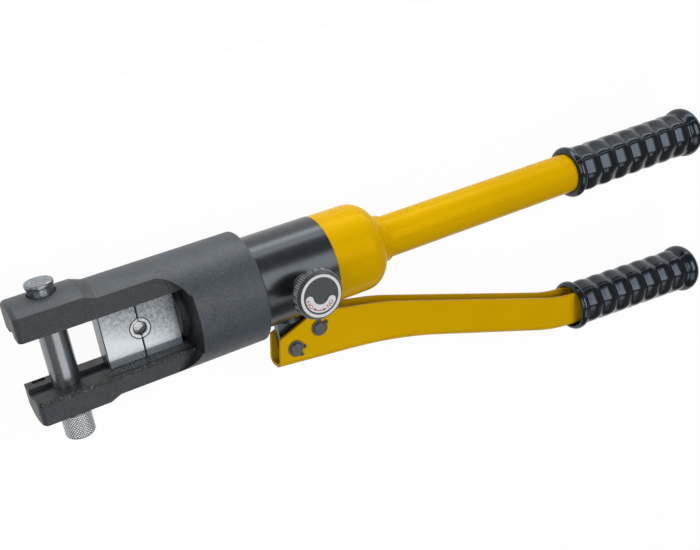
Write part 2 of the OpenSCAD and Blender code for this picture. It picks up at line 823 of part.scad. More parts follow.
module release_knob() {
    inner_r = knob_r - knob_tooth_depth;
    color(dark_steel) difference() {
        union() {
            rod_z(knob_hub_r, knob_hub_z, knob_rim_z + over, knob_x);
            translate([knob_x, 0, knob_rim_z]) linear_extrude(knob_rim_h) {
                polygon([for (i = [0:2 * knob_teeth - 1]) let (a = 180 * i / knob_teeth,
                    r = i % 2 == 0 ? knob_r : inner_r) [r * cos(a), r * sin(a)]]);
            }
            translate([knob_x, 0, 0]) rotate_extrude() polygon([[0, knob_rim_z + over],
                [inner_r - 0.2, knob_rim_z + over], [inner_r - 0.2, knob_rim_z + knob_rim_h],
                [knob_r - knob_bevel, knob_top_z], [0, knob_top_z]]);
        }
        rod_z(spindle_neck_r + fit, knob_hub_z - over, spindle_top_z + seat, knob_x);
        rod_x(knob_screw_r, knob_x - knob_hub_r - over, knob_x, 0, knob_hub_z + knob_hub_h / 2);
    }
}

module knob_label() {
    color(nylon_white) rod_z(knob_label_r, knob_top_z, knob_face_z, knob_x);
}

module knob_screw() {
    color(dark_steel) rod_x(knob_screw_r - fit, knob_x - knob_hub_r + 0.4,
                            knob_x - spindle_neck_r - seat, 0, knob_hub_z + knob_hub_h / 2);
}

// Reservoir cup and fixed handle

module reservoir_cup() {
    inner_r = spigot_r + fit;
    shoulder_x0 = cup_rear_x - cup_shoulder_r;
    inner_shoulder_r = cup_shoulder_r - cup_wall + 0.5;
    color(yellow_paint) difference() {
        turned_x(concat([[0, body_rear_x], [cup_r - 0.4, body_rear_x], [cup_r, body_rear_x + 0.4]],
            arc([cup_r - cup_shoulder_r, shoulder_x0], cup_shoulder_r, 0, 90, 10), [[0, cup_rear_x]]));
        rod_x(inner_r, body_rear_x - over, nipple_x + seat);
        turned_x(concat([[0, nipple_x], [inner_r, nipple_x]],
            arc([inner_r - inner_shoulder_r, cup_rear_x - cup_wall - inner_shoulder_r],
                inner_shoulder_r, 0, 90, 8), [[0, cup_rear_x - cup_wall]]));
        rod_x(tube_r + fit, cup_rear_x - cup_wall - over, cup_rear_x + over);
    }
}

module cup_o_ring() {
    color(black_rubber) translate([body_rear_x + 4.1, 0, 0]) rotate([0, 90, 0]) {
        o_ring(spigot_r - 0.8, 0.78);
    }
}

module tube_collar() {
    end_x = cup_rear_x + collar_len;
    color(yellow_paint) difference() {
        turned_x([[0, cup_rear_x], [collar_r, cup_rear_x], [collar_r, end_x - 1.3],
                  [(collar_r + fillet_ring_r) / 2, end_x + 0.2], [fillet_ring_r, end_x + 1.9],
                  [fillet_ring_r, end_x + fillet_ring_len - 0.6],
                  [tube_r + 0.3, end_x + fillet_ring_len], [0, end_x + fillet_ring_len]]);
        rod_x(tube_r + fit, cup_rear_x - over, end_x + fillet_ring_len + over);
    }
}

module handle_tube() {
    color(yellow_paint) ring_x(tube_r, tube_bore_r, tube_front_x, tube_end_x);
}

module tube_plug() {
    color(nylon_white) rod_x(tube_bore_r - fit, tube_end_x - tube_plug_sink - tube_plug_len,
                             tube_end_x - tube_plug_sink);
}

module oil_bladder() {
    neck_in = nipple_r + seat;
    end_round = bladder_r - 1;
    color(black_rubber) difference() {
        turned_x(concat([[0, bladder_neck_x], [bladder_neck_r, bladder_neck_x],
                         [bladder_neck_r, nipple_end_x], [bladder_r, bladder_taper_x]],
            arc([bladder_r - end_round, bladder_end_x - end_round], end_round, 0, 90, 8),
            [[0, bladder_end_x]]));
        rod_x(neck_in, bladder_neck_x - over, nipple_end_x + seat);
        turned_x(concat([[0, nipple_end_x], [neck_in, nipple_end_x],
                         [bladder_r - bladder_wall, bladder_taper_x]],
            arc([bladder_r - end_round, bladder_end_x - end_round], end_round - bladder_wall, 0, 90, 8),
            [[0, bladder_end_x - bladder_wall]]));
    }
}

module bladder_clamp() {
    color(bright_steel) ring_x(bladder_neck_r + seat + clamp_wall, bladder_neck_r + seat, clamp_x,
                               clamp_x + clamp_len);
}

module suction_filter() {
    color(brass) rod_x(nipple_bore_r - fit, nipple_end_x - 3 - filter_t, nipple_end_x - 3);
}

// Grips, along +X from their mouth at x = 0

function grip_crowns() =
    [for (k = [0:grip_rings - 1]) for (i = [0:6])
        let (t = i / 6) [grip_r - grip_valley * pow(2 * t - 1, 2),
                         grip_lip_len + (k + t) * grip_crown_len]];

module grip_skin() {
    turned_x(concat([[0, 0]],
        arc([grip_flange_r - grip_lip_round, grip_lip_round], grip_lip_round, -90, 60, 6),
        grip_crowns(),
        arc([grip_flange_r - grip_end_round, grip_len - grip_end_round], grip_end_round, -45, 90, 8),
        [[0, grip_len]]));
}

module grip(mouth_r, facet_turn) {
    flat_r = (grip_r - grip_flat_depth) / cos(180 / grip_flats);
    color(black_rubber) difference() {
        intersection() {
            grip_skin();
            union() {
                rod_x(grip_flange_r + over, -over, grip_lip_len);
                rod_x(grip_flange_r + over, grip_len - grip_bead_len, grip_len + over);
                translate([grip_lip_len - over, 0, 0]) rotate([facet_turn, 0, 0]) rotate([0, 90, 0]) {
                    cylinder(r = flat_r, h = grip_rings * grip_crown_len + 2 * over, $fn = grip_flats);
                }
            }
        }
        rod_x(tube_r + fit, -over, grip_len - grip_end_wall);
        rod_x(mouth_r, -over, grip_mouth_depth);
    }
}

module fixed_grip() {
    translate([fixed_grip_x, 0, 0]) grip(tube_r + fit, fixed_grip_turn);
}

// Places things in the lever grip's own line, with x = 0 at its mouth
module on_lever_grip() {
    translate([lever_grip_x, lever_grip_y, 0]) rotate([0, 0, -lever_grip_tilt]) children();
}

module lever_grip() {
    on_lever_grip() grip(sqrt(channel_h * channel_h + channel_w * channel_w) / 2 + 0.3, lever_grip_turn);
}

module lever_tube() {
    on_lever_grip() color(yellow_paint) ring_x(tube_r, tube_bore_r, grip_mouth_depth,
                                               grip_len - grip_end_wall - seat);
}

// Lever channel: a U section swept along its under edge, with its upper edge cut to the outline

function lever_point(p) = [fulcrum_x, fulcrum_y] + p;

function grip_line(back, rise) =
    [lever_grip_x, lever_grip_y]
    + back * [cos(lever_grip_tilt), -sin(lever_grip_tilt)]
    + rise * [sin(lever_grip_tilt), cos(lever_grip_tilt)];

lever_nose = lever_point(under_nose);
lever_bend = lever_point(under_bend);
lever_last = grip_line(lever_end, -channel_h / 2);
nose_slope = atan2(lever_nose[1] - lever_bend[1], lever_bend[0] - lever_nose[0]);
rear_bend = meet(lever_bend, -lever_slope, lever_last, -lever_grip_tilt);
long_reach = long_bend_r * tan((lever_slope - nose_slope) / 2);
rear_reach = rear_bend_r * tan((lever_slope - lever_grip_tilt) / 2);

function upper_edge() =
    let (bend = lever_point(upper_bend), last = grip_line(lever_end + over, channel_h / 2),
         rear = meet(bend, -lever_slope, last, -lever_grip_tilt))
    round_path([lever_point(upper_nose), lever_point(upper_crown), lever_point(upper_start), bend,
                rear, last],
               [crown_bend_r, long_bend_r / 8, long_bend_r / 2, rear_bend_r - channel_h], 6);

// Outline of a U, open upwards: x is the height above the under edge and y is the width
module u_outline(half, r, low, high) {
    translate([low + r, -half]) square([high - low - r, 2 * half]);
    translate([low, r - half]) square([2 * r, 2 * (half - r)]);
    for (side = [-1, 1]) translate([low + r, side * (half - r)]) circle(r = r);
}

module u_section(height, inset = 0) {
    difference() {
        u_outline(channel_half - inset, channel_corner_r - inset, inset, height);
        u_outline(channel_half - channel_t + inset, channel_corner_r - channel_t + inset,
                  channel_t - inset, height + over);
    }
}

module straight_channel(from, to, height) {
    slope = atan2(from[1] - to[1], to[0] - from[0]);
    translate([from[0], from[1], 0]) rotate([0, 0, -slope]) rotate([0, 90, 0]) {
        linear_extrude(norm(to - from)) rotate(90) mirror([0, 1]) u_section(height);
    }
}

// Bend that turns down, towards the under edge
module falling_bend(from, slope, r, turn, height) {
    translate([from[0] - r * sin(slope), from[1] - r * cos(slope), 0]) {
        rotate([0, 0, 90 - slope - turn]) rotate_extrude(angle = turn, $fn = 180) {
            translate([r, 0]) u_section(height, bend_inset);
        }
    }
}

// Bend that turns up, away from the under edge
module rising_bend(from, slope, r, turn, height) {
    translate([from[0] + r * sin(slope), from[1] + r * cos(slope), 0]) {
        rotate([0, 0, -90 - slope]) rotate_extrude(angle = turn, $fn = 180) {
            translate([r, 0]) mirror([1, 0]) u_section(height, bend_inset);
        }
    }
}

// The bends are thinner by a hair, so that the straight stretches lap over their ends cleanly
module swept_channel(height) {
    front_dir = unit(lever_bend - lever_nose);
    middle_dir = [cos(lever_slope), -sin(lever_slope)];
    rear_dir = [cos(lever_grip_tilt), -sin(lever_grip_tilt)];
    front_end = lever_bend - front_dir * long_reach;
    middle_start = lever_bend + middle_dir * long_reach;
    middle_end = rear_bend - middle_dir * rear_reach;
    rear_start = rear_bend + rear_dir * rear_reach;
    straight_channel(lever_nose, front_end + front_dir * bend_lap, height);
    falling_bend(front_end, nose_slope, long_bend_r, lever_slope - nose_slope, height);
    straight_channel(middle_start - middle_dir * bend_lap, middle_end + middle_dir * bend_lap, height);
    rising_bend(middle_end, lever_slope, rear_bend_r, lever_slope - lever_grip_tilt, height);
    straight_channel(rear_start - rear_dir * bend_lap, lever_last, height);
}

module lever_channel() {
    edge = upper_edge();
    high = fulcrum_y + cut_clear;
    lead = edge[0] - cut_clear * unit(edge[1] - edge[0]);
    color(yellow_paint) difference() {
        swept_channel(channel_h + blank_rise);
        translate([0, 0, -channel_w]) linear_extrude(2 * channel_w) polygon(concat([lead], edge,
            [[edge[len(edge) - 1][0] + cut_clear, high], [lead[0], high]]));
        translate([0, 0, -channel_w]) linear_extrude(2 * channel_w) {
            polygon([lever_nose + [-8, -8], lever_nose + [0.4, -1.5], lever_point(upper_nose) + [0.3, 1.5],
                     lever_point(upper_nose) + [-20, 1.5]]);
        }
        rod_z(lever_pin_r + fit, -channel_w, channel_w, fulcrum_x, fulcrum_y);
        rod_z(lever_pin_r + fit, -channel_w, channel_w, drive_x, drive_y);
    }
}

// Clevis pin along Z, with its head on the far side and a groove for its clip
module clevis_pin() {
    end_z = channel_half + pin_end_rise;
    groove_z = channel_half + 0.15;
    rotate_extrude() polygon([[0, -channel_half - pin_head_t], [pin_head_r - 0.4, -channel_half - pin_head_t],
        [pin_head_r, -channel_half - pin_head_t + 0.4], [pin_head_r, -channel_half - seat],
        [lever_pin_r, -channel_half - seat], [lever_pin_r, groove_z], [clip_groove_r, groove_z],
        [clip_groove_r, groove_z + clip_t + 0.1], [lever_pin_r, groove_z + clip_t + 0.1],
        [lever_pin_r, end_z - 0.4], [lever_pin_r - 0.4, end_z], [0, end_z]]);
}

module clip_ears(r) {
    for (side = [-1, 1]) rotate(side * clip_ear_angle) translate([clip_ear_back, 0]) circle(r = r, $fn = 24);
}

// Retaining clip in the XY plane, open towards the given angle
module clip(open_angle) {
    reach = 2 * clip_r;
    translate([0, 0, channel_half + 0.15 + fit]) rotate([0, 0, open_angle]) linear_extrude(clip_t) {
        difference() {
            union() {
                circle(r = clip_r);
                clip_ears(clip_ear_r);
            }
            clip_ears(clip_ear_hole_r);
            circle(r = clip_groove_r + fit);
            polygon([[0, 0], [reach, -reach * tan(clip_gap_angle)], [reach, reach * tan(clip_gap_angle)]]);
        }
    }
}

module fulcrum_pin() {
    color(dark_steel) translate([fulcrum_x, fulcrum_y, 0]) clevis_pin();
}

module plunger_pin() {
    color(dark_steel) translate([drive_x, drive_y, 0]) clevis_pin();
}

module fulcrum_pin_clip() {
    color(dark_steel) translate([fulcrum_x, fulcrum_y, 0]) clip(-31);
}

module plunger_pin_clip() {
    color(dark_steel) translate([drive_x, drive_y, 0]) clip(54);
}

module lug_washers() {
    inner = channel_half - channel_t - fit;
    for (side = [-1, 1]) mirror([0, 0, side > 0 ? 0 : 1]) {
        color(bright_steel) translate([fulcrum_x, fulcrum_y, lug_t / 2 + fit]) difference() {
            cylinder(r = lug_r - 1.2, h = inner - lug_t / 2 - 2 * fit);
            translate([0, 0, -over]) cylinder(r = lever_pin_r + fit, h = inner + over);
        }
    }
}

head_forging();
pin_o_ring();
retaining_pin();
front_die();
rear_die();
die_stud();
ram();
ram_wiper();
piston_seal();
piston_backup_ring();
return_spring();
spring_bolt();
spring_retainer();
head_lock_screw();
pump_body();
body_o_ring();
fulcrum_lug();
plunger();
plunger_gland();
plunger_seal();
suction_seat();
suction_ball();
suction_spring();
delivery_ball();
delivery_spring();
delivery_retainer();
relief_ball();
relief_spring();
relief_screw();
release_ball();
release_spindle();
spindle_gland();
spindle_o_ring();
release_knob();
knob_label();
knob_screw();
reservoir_cup();
cup_o_ring();
tube_collar();
handle_tube();
tube_plug();
oil_bladder();
bladder_clamp();
suction_filter();
fixed_grip();
lever_channel();
lever_tube();
lever_grip();
fulcrum_pin();
plunger_pin();
fulcrum_pin_clip();
plunger_pin_clip();
lug_washers();
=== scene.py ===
"""Hydraulic crimping tool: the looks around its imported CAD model, in metres, in the row frame.

The sizes below are typed in millimetres and become metres by MM. The floor, the lamps and the
camera are typed in metres.
"""

import json
import math

import bpy
import numpy as np
from mathutils import Matrix, Vector


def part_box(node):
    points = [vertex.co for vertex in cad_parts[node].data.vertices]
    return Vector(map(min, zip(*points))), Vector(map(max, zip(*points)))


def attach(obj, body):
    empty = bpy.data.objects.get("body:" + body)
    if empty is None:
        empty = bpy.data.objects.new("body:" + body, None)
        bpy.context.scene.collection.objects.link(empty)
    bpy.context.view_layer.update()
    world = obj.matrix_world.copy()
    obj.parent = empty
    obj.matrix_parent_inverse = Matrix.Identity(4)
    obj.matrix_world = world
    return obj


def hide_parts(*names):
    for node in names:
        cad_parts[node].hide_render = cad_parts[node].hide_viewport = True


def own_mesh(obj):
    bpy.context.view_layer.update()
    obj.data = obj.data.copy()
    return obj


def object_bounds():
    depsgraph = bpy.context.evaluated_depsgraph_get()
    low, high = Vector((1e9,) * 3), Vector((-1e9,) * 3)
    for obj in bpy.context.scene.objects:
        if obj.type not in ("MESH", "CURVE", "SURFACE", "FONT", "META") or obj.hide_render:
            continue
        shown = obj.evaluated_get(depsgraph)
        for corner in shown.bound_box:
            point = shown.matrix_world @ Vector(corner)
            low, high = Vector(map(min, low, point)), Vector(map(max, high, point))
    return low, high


MM = 0.001

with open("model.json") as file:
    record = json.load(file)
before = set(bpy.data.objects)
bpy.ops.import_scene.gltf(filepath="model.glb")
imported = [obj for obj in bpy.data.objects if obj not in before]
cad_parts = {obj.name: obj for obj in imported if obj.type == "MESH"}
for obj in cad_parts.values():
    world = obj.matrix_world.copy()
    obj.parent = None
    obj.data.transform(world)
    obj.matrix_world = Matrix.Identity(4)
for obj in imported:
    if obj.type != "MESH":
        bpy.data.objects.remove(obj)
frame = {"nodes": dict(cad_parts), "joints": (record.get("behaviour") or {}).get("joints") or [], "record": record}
NODES = frame["nodes"]
CAD_BOX = [list(c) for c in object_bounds()]
JOINTS = {joint["name"]: joint for joint in frame["joints"]}
MOUNTS = {mount["name"]: mount for mount in frame["record"]["mounts"]}
SLOT_OF = {part["node"]: part["material_slot"] for part in frame["record"]["subparts"]}


# Places that the looks hang on, from the frame

def box_mm(node_name):
    low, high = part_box(node_name)
    return low / MM, high / MM


HEAD_LOW, HEAD_HIGH = box_mm("head_forging")
DIE_LOW, DIE_HIGH = box_mm("front_die")
PIN_LOW, PIN_HIGH = box_mm("retaining_pin")
KNOB_LOW, KNOB_HIGH = box_mm("release_knob")
GRIP_LOW, GRIP_HIGH = box_mm("fixed_grip")
PLATE_Z = box_mm("knob_label")[1].z
ARM_FLAT_Z = MOUNTS["arm_flat_top"]["pos_m"][2] / MM
KNOB_AT = [c / MM for c in JOINTS["release_knob_turn"]["pos_m"][:2]]
KNOB_R = (KNOB_HIGH.x - KNOB_LOW.x) / 2
FULCRUM = [c / MM for c in JOINTS["pump_lever_hinge"]["pos_m"][:2]]
PIN_DISC_R = 8.2
PIN_X = PIN_HIGH.x - PIN_DISC_R
KNURL_R = 8.62


# Node helpers

def srgb(r, g, b):
    """An 0-255 display colour as a linear RGBA."""
    return tuple(
        (v / 255 / 12.92) if v / 255 <= 0.04045 else ((v / 255 + 0.055) / 1.055) ** 2.4
        for v in (r, g, b)
    ) + (1.0,)


class Surface:
    """A Principled material with the few procedural layers that this scene uses."""

    def __init__(self, name, colour, rough, metal=0.0, specular=0.5, sheen=None):
        self.mat = bpy.data.materials.new(name)
        self.mat.use_nodes = True
        self.mat.diffuse_color = colour
        self.tree = self.mat.node_tree
        self.bsdf = self.tree.nodes["Principled BSDF"]
        self.bsdf.inputs["Base Color"].default_value = colour
        self.bsdf.inputs["Roughness"].default_value = rough
        self.bsdf.inputs["Metallic"].default_value = metal
        self.bsdf.inputs["Specular IOR Level"].default_value = specular
        if sheen:
            self.bsdf.inputs["Specular Tint"].default_value = sheen
        self.place = self.tree.nodes.new("ShaderNodeTexCoord").outputs["Object"]
        self.normal = None

    def link(self, a, b):
        self.tree.links.new(a, b)

    def split(self, vector):
        node = self.tree.nodes.new("ShaderNodeSeparateXYZ")
        self.link(vector, node.inputs[0])
        return node.outputs

    def axes(self):
        return self.split(self.place)

    def facing(self):
        """The true normal's parts, for bodies that keep still."""
        return self.split(self.tree.nodes.new("ShaderNodeNewGeometry").outputs["True Normal"])

    def stretched(self, scale):
        node = self.tree.nodes.new("ShaderNodeMapping")
        node.inputs["Scale"].default_value = scale
        self.link(self.place, node.inputs["Vector"])
        return node.outputs["Vector"]

    def noise(self, size_mm, detail=3.0, rough=0.6, vector=None):
        node = self.tree.nodes.new("ShaderNodeTexNoise")
        node.inputs["Scale"].default_value = 1 / (size_mm * MM)
        node.inputs["Detail"].default_value = detail
        node.inputs["Roughness"].default_value = rough
        self.link(vector or self.place, node.inputs["Vector"])
        return node.outputs["Fac"]

    def spread(self, fac, low, high, to_low=0.0, to_high=1.0):
        node = self.tree.nodes.new("ShaderNodeMapRange")
        node.clamp = True
        for key, v in (("From Min", low), ("From Max", high),
                       ("To Min", to_low), ("To Max", to_high)):
            node.inputs[key].default_value = v
        self.link(fac, node.inputs["Value"])
        return node.outputs["Result"]

    def ramp(self, place, start_mm, end_mm, top=1.0):
        """0 up to the place start_mm, rising to top at end_mm."""
        return self.spread(place, start_mm * MM, end_mm * MM, 0.0, top)

    def between(self, place, low_mm, high_mm, soft_mm=0.06):
        """1 where the place lies between the two, with soft edges."""
        return self.both(self.ramp(place, low_mm - soft_mm, low_mm + soft_mm),
                         self.ramp(place, high_mm + soft_mm, high_mm - soft_mm))

    def math(self, op, a, b=None):
        node = self.tree.nodes.new("ShaderNodeMath")
        node.operation = op
        for socket, v in zip(node.inputs, (a, b)):
            if isinstance(v, (int, float)):
                socket.default_value = v
            elif v is not None:
                self.link(v, socket)
        return node.outputs[0]

    def size(self, a):
        return self.math("ABSOLUTE", a)

    def both(self, *masks):
        whole = masks[0]
        for mask in masks[1:]:
            whole = self.math("MULTIPLY", whole, mask)
        return whole

    def radius(self, a, b):
        squares = self.math("ADD", self.math("POWER", a, 2.0), self.math("POWER", b, 2.0))
        return self.math("SQRT", squares)

    def tint(self, fac, colour):
        """Mixes a colour over the base colour by fac."""
        node = self.tree.nodes.new("ShaderNodeMix")
        node.data_type = "RGBA"
        socket = self.bsdf.inputs["Base Color"]
        if socket.is_linked:
            self.link(socket.links[0].from_socket, node.inputs[6])
        else:
            node.inputs[6].default_value = socket.default_value
        node.inputs[7].default_value = colour
        self.link(fac, node.inputs[0])
        self.link(node.outputs[2], socket)

    def mottle(self, fac, low, high, colour, top=1.0):
        """Mixes a colour in where a noise is past low, up to top at high."""
        self.tint(self.spread(fac, low, high, 0.0, top), colour)

    def uneven(self, fac, low, high):
        """Lets the roughness wander from low to high with a noise."""
        self.link(self.spread(fac, 0.0, 1.0, low, high), self.bsdf.inputs["Roughness"])

    def bump(self, fac, depth_mm):
        node = self.tree.nodes.new("ShaderNodeBump")
        node.inputs["Strength"].default_value = 1.0
        node.inputs["Distance"].default_value = depth_mm * MM
        self.link(fac, node.inputs["Height"])
        if self.normal is not None:
            self.link(self.normal, node.inputs["Normal"])
        self.normal = node.outputs["Normal"]
        self.link(self.normal, self.bsdf.inputs["Normal"])


# Materials

WINDOW_SIDE_Y = DIE_HIGH.y + 0.55
WINDOW_END_X = 26.9
GUIDE_HALF_X = 24.0
ARM_STEP_X = (-44.0, -20.0)
CHIPPED_EDGE_Y = -18.0
CHIP_RADII = (2.9, 2.2)


def forged_coat():
    s = Surface("forged_coat", srgb(46, 53, 59), 0.5)
    s.mottle(s.noise(14), 0.35, 0.7, srgb(53, 61, 67))
    grain = s.noise(1.05, 3, 0.7)
    x, y, z = s.axes()
    nx, ny, nz = s.facing()
    # Milled faces: the flats of the arms, their inner faces, the window's end wall and the tips. The end wall and
    # the tips get painted shade, the end wall also a painted mottled reflection
    flats = s.both(s.spread(s.size(nz), 0.55, 0.9),
                   s.ramp(s.size(z), ARM_FLAT_Z + 0.6, ARM_FLAT_Z + 0.2))
    inner = s.both(s.spread(s.size(ny), 0.6, 0.8),
                   s.ramp(s.size(y), WINDOW_SIDE_Y + 0.2, WINDOW_SIDE_Y),
                   s.ramp(x, WINDOW_END_X + 0.3, WINDOW_END_X))
    shaded_end_wall = s.both(s.spread(nx, -0.25, -0.6), s.ramp(x, 2, 6))
    shaded_tips = s.both(s.spread(nx, -0.5, -0.85), s.ramp(x, HEAD_LOW.x + 6, HEAD_LOW.x + 4))
    step = s.both(s.spread(nx, 0.15, 0.35), s.between(x, *ARM_STEP_X, 1))
    s.tint(flats, srgb(36, 41, 46))
    s.tint(step, srgb(28, 32, 36))
    s.tint(inner, srgb(32, 37, 41))
    worn = s.spread(s.noise(1.2, 4, 0.75), 0.45, 0.6)
    s.tint(s.both(inner, s.between(x, -GUIDE_HALF_X, GUIDE_HALF_X, 2), worn), srgb(132, 139, 144))
    # Painted shade on the front faces of the arm tips
    s.tint(shaded_tips, srgb(35, 38, 41))
    s.tint(s.both(flats, s.ramp(x, -4, 14)), srgb(34, 37, 39))
    # Painted shade on the window's end wall, then a lighter painted mottled reflection in it
    s.tint(shaded_end_wall, srgb(15, 16, 17))
    s.tint(s.both(shaded_end_wall, s.spread(s.noise(1.8, 4, 0.75), 0.52, 0.66)), srgb(36, 38, 40))
    s.mottle(grain, 0.52, 0.70, srgb(84, 93, 100), 0.30)
    s.mottle(grain, 0.48, 0.32, srgb(24, 27, 30), 0.70)
    s.uneven(s.noise(5), 0.40, 0.6)
    s.bump(grain, 0.10)
    s.bump(s.noise(3.2, 2, 0.5), 0.14)
    # Chipped coat along the near inner edge of the lower arm
    across = s.size(s.math("SUBTRACT", y, CHIPPED_EDGE_Y * MM))
    down = s.size(s.math("SUBTRACT", z, ARM_FLAT_Z * MM))
    wander = s.math("MULTIPLY", s.math("SUBTRACT", s.noise(2.6, 3, 0.7), 0.5), 5.0 * MM)
    near = s.ramp(s.math("ADD", s.radius(across, down), wander), *CHIP_RADII)
    s.tint(near, srgb(6, 7, 8))
    s.tint(s.both(near, s.spread(s.noise(1.1, 3, 0.8), 0.58, 0.64)), srgb(104, 113, 120))
    return s.mat


def black_body():
    s = Surface("black_body", srgb(24, 28, 32), 0.25, specular=0.62, sheen=srgb(236, 246, 255))
    lines = s.noise(0.5, 2, 0.6, s.stretched((1.0, 0.02, 0.02)))
    s.mottle(s.noise(22, 3, 0.5), 0.4, 0.7, srgb(30, 34, 38))
    s.uneven(s.noise(3), 0.22, 0.29)
    s.bump(lines, 0.003)
    s.bump(s.noise(0.9, 3, 0.5), 0.003)
    return s.mat


def yellow_paint():
    s = Surface("yellow_paint", srgb(196, 153, 2), 0.26, metal=0.04, specular=0.04,
                sheen=srgb(255, 214, 60))
    s.mottle(s.noise(30, 2, 0.5), 0.35, 0.7, srgb(190, 148, 1), 0.6)
    s.uneven(s.noise(4), 0.20, 0.30)
    s.bump(s.noise(1.6, 2, 0.4), 0.008)
    return s.mat


def bright_steel():
    s = Surface("bright_steel", srgb(150, 151, 153), 0.2, metal=1.0)
    s.mottle(s.noise(7, 4, 0.65), 0.45, 0.75, srgb(122, 124, 126), 0.5)
    s.uneven(s.noise(1.1), 0.16, 0.26)
    s.bump(s.noise(0.7), 0.004)
    return s.mat


SEAM_X = (-0.62, 0.12, 0.55)
NEST_R = 3.78
RING_RADII = (4.6, 5.78, 6.42)
NEST_SHADE_Z = (0.6, 1.0)


def die_steel():
    s = Surface("die_steel", srgb(186, 191, 195), 0.28, metal=0.5, specular=0.6)
    stain = s.noise(2.2, 5, 0.75)
    x, y, z = s.axes()
    face = s.ramp(s.size(z), DIE_HIGH.z - 0.8, DIE_HIGH.z - 0.6)
    shaded_upper = s.ramp(s.math("ADD", y, s.math("MULTIPLY", x, 0.35)), -9, 14)
    shaded_front = s.ramp(x, DIE_LOW.x + 0.2, DIE_LOW.x + 0.05)
    # Painted shade over the die's upper part, below the upper arm, with the steel's own stains mottled into it
    s.tint(shaded_upper, srgb(128, 134, 139))
    s.tint(s.both(shaded_upper, s.spread(stain, 0.42, 0.60)), srgb(98, 105, 110))
    s.tint(s.both(shaded_upper, s.spread(s.noise(0.9, 4, 0.8), 0.50, 0.60)), srgb(74, 81, 86))
    s.tint(s.both(shaded_upper, s.spread(s.noise(0.7, 4, 0.8), 0.60, 0.68)), srgb(232, 234, 235))
    s.tint(s.both(face, s.ramp(y, -13.2, -13.5, 0.85)), srgb(112, 124, 132))
    # The front face with painted shade, darker towards -Y, its edge, the seam with its chamfer, the ring and the
    # inside of the nest, with painted shade in its upper part
    s.tint(shaded_front, srgb(84, 94, 101))
    s.tint(s.both(shaded_front, s.ramp(y, 6, -16)), srgb(44, 49, 53))
    s.tint(s.both(face, s.between(x, DIE_LOW.x + 0.2, DIE_LOW.x + 0.8)), srgb(16, 18, 20))
    s.tint(s.both(face, s.between(x, SEAM_X[0], SEAM_X[1])), srgb(24, 26, 28))
    s.tint(s.both(face, s.between(x, SEAM_X[1], SEAM_X[2])), srgb(84, 89, 93))
    r = s.radius(x, y)
    s.tint(s.both(face, s.between(r, RING_RADII[1], RING_RADII[2])), srgb(34, 37, 40))
    s.tint(s.both(face, s.between(r, RING_RADII[0], RING_RADII[1])), srgb(182, 187, 190))
    nest = s.ramp(r, NEST_R + 0.08, NEST_R)
    s.tint(nest, srgb(240, 242, 243))
    s.tint(s.both(nest, s.ramp(z, *NEST_SHADE_Z)), srgb(46, 50, 54))
    s.uneven(stain, 0.20, 0.36)
    s.bump(s.noise(0.7, 3, 0.7), 0.008)
    return s.mat


def dark_steel():
    s = Surface("dark_steel", srgb(52, 56, 60), 0.38, specular=0.7)
    s.mottle(s.noise(2.5, 4, 0.7), 0.45, 0.7, srgb(40, 43, 46))
    s.uneven(s.noise(1.5), 0.30, 0.48)
    s.bump(s.noise(0.5), 0.015)
    return s.mat


def grip_rubber():
    s = Surface("grip_rubber", srgb(6, 8, 10), 0.2, specular=0.62, sheen=srgb(220, 236, 255))
    s.mottle(s.noise(9), 0.4, 0.7, srgb(10, 12, 14))
    s.uneven(s.noise(2.5), 0.16, 0.23)
    s.bump(s.noise(0.9, 2, 0.5), 0.004)
    return s.mat


KNOB_TEETH = 66.0


def knob_steel():
    s = Surface("knob_steel", srgb(34, 37, 40), 0.34, specular=0.6)
    x, y, _ = s.axes()
    across = s.math("SUBTRACT", x, KNOB_AT[0] * MM)
    s.mottle(s.noise(2.0), 0.4, 0.7, srgb(42, 45, 48))
    # The teeth: painted highlights on the crests and painted shade in the valleys around the rim
    wave = s.math("COSINE", s.math("MULTIPLY", s.math("ARCTAN2", y, across), KNOB_TEETH))
    lit_and_shaded_rim = s.ramp(s.radius(across, y), KNOB_R - 0.64, KNOB_R - 0.56)
    s.tint(lit_and_shaded_rim, srgb(12, 13, 14))
    s.tint(s.both(lit_and_shaded_rim, s.spread(wave, 0.0, 0.5)), srgb(142, 148, 152))
    s.uneven(s.noise(1.2), 0.28, 0.42)
    s.bump(s.noise(0.5), 0.008)
    return s.mat


def knurled_steel():
    s = Surface("knurled_steel", srgb(190, 194, 197), 0.3, metal=0.6)
    x, _, z = s.axes()
    r = s.radius(s.math("SUBTRACT", x, PIN_X * MM), z)
    # Painted shade in the knurl's valleys and painted highlights on its crests
    s.tint(s.ramp(r, KNURL_R - 0.18, KNURL_R - 0.38), srgb(46, 50, 53))
    s.tint(s.ramp(r, KNURL_R - 0.12, KNURL_R - 0.02), srgb(246, 248, 249))
    s.uneven(s.noise(0.9), 0.22, 0.34)
    s.bump(s.noise(0.5), 0.004)
    return s.mat


def pin_steel():
    s = Surface("pin_steel", srgb(134, 138, 142), 0.26, metal=0.9)
    _, y, _ = s.axes()
    disc = s.ramp(y, HEAD_HIGH.y - 0.3, HEAD_HIGH.y + 0.1)
    s.tint(disc, srgb(112, 118, 122))
    s.tint(s.both(disc, s.spread(s.noise(2.4, 2, 0.5), 0.35, 0.75)), srgb(150, 155, 159))
    s.uneven(s.noise(4.0, 2, 0.5), 0.22, 0.30)
    return s.mat


def ram_steel():
    s = Surface("ram_steel", srgb(54, 57, 60), 0.34, metal=0.5)
    s.mottle(s.noise(2.4, 4, 0.7), 0.4, 0.65, srgb(34, 36, 38))
    s.uneven(s.noise(1.5), 0.28, 0.44)
    s.bump(s.noise(0.6), 0.01)
    return s.mat


def plain(name, colour, rough, metal=0.0):
    s = Surface(name, colour, rough, metal=metal)
    grain = s.noise(0.8)
    s.uneven(grain, rough - 0.08, rough + 0.08)
    s.bump(grain, 0.01)
    return s.mat


